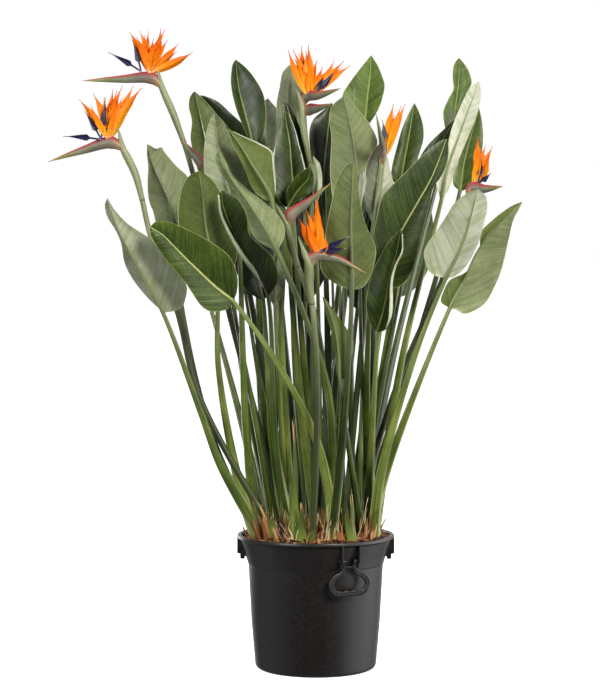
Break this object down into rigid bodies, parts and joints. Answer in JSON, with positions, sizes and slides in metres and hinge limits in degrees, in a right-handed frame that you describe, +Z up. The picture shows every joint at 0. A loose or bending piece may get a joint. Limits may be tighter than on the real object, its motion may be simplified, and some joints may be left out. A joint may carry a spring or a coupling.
{
  "type": "potted bird of paradise plant",
  "caption": "Flowering bird of paradise with paddle leaves on long stalks, growing in fans from bark in a black nursery pot that has swinging hand grips.",
  "frame": {"origin": "middle of the pot's flat underside", "axes": "+Z up along the pot's axis, -Y towards the front of the plant as pictured, +X to the right in that view"},
  "size_m": [1.0626, 0.6759, 1.4764],
  "materials": {
    "pot_plastic": "satin moulded black",
    "bark": "damp bark potting mix",
    "leaf": "waxy green leaf",
    "scape": "waxy flower stalk and spathe",
    "sepal": "orange sepals",
    "petal": "indigo petals",
    "husk": "dry leaf bases"
  },
  "bodies": {
    "potted_plant": {"pot": "pot_plastic", "soil": "bark", "fan_left_front": "leaf", "fan_left_middle": "leaf", "fan_left_back": "leaf", "fan_centre_left": "leaf", "fan_centre_front": "leaf", "fan_centre": "leaf", "fan_right_front": "leaf", "fan_right_middle": "leaf", "fan_right_back": "leaf", "fan_back": "leaf", "bloom_a_stalk": "scape", "bloom_a_petals": "petal", "bloom_a_sepals": "sepal", "bloom_b_stalk": "scape", "bloom_b_petals": "petal", "bloom_b_sepals": "sepal", "bloom_c_stalk": "scape", "bloom_c_petals": "petal", "bloom_c_sepals": "sepal", "bloom_d_stalk": "scape", "bloom_d_petals": "petal", "bloom_d_sepals": "sepal", "bloom_e_stalk": "scape", "bloom_e_petals": "petal", "bloom_e_sepals": "sepal", "bloom_f_stalk": "scape", "bloom_f_petals": "petal", "bloom_f_sepals": "sepal", "bloom_g_stalk": "scape", "bloom_h_stalk": "scape", "husk_rust": "husk", "husk_cut": "husk", "husk_torn": "husk", "husk_tan": "husk"},
    "front_grip": {"grip_front": "pot_plastic"},
    "back_grip": {"grip_back": "pot_plastic"}
  },
  "joints": [
    {"name": "front_grip_hinge", "type": "hinge", "parent": "potted_plant", "child": "front_grip", "pos_m": [0.07387, -0.15145, 0.266], "axis": [-0.8988, -0.4384, 0], "range_deg": [-6, 130]},
    {"name": "back_grip_hinge", "type": "hinge", "parent": "potted_plant", "child": "back_grip", "pos_m": [-0.07387, 0.15145, 0.266], "axis": [0.8988, 0.4384, 0], "range_deg": [-6, 130]}
  ]
}
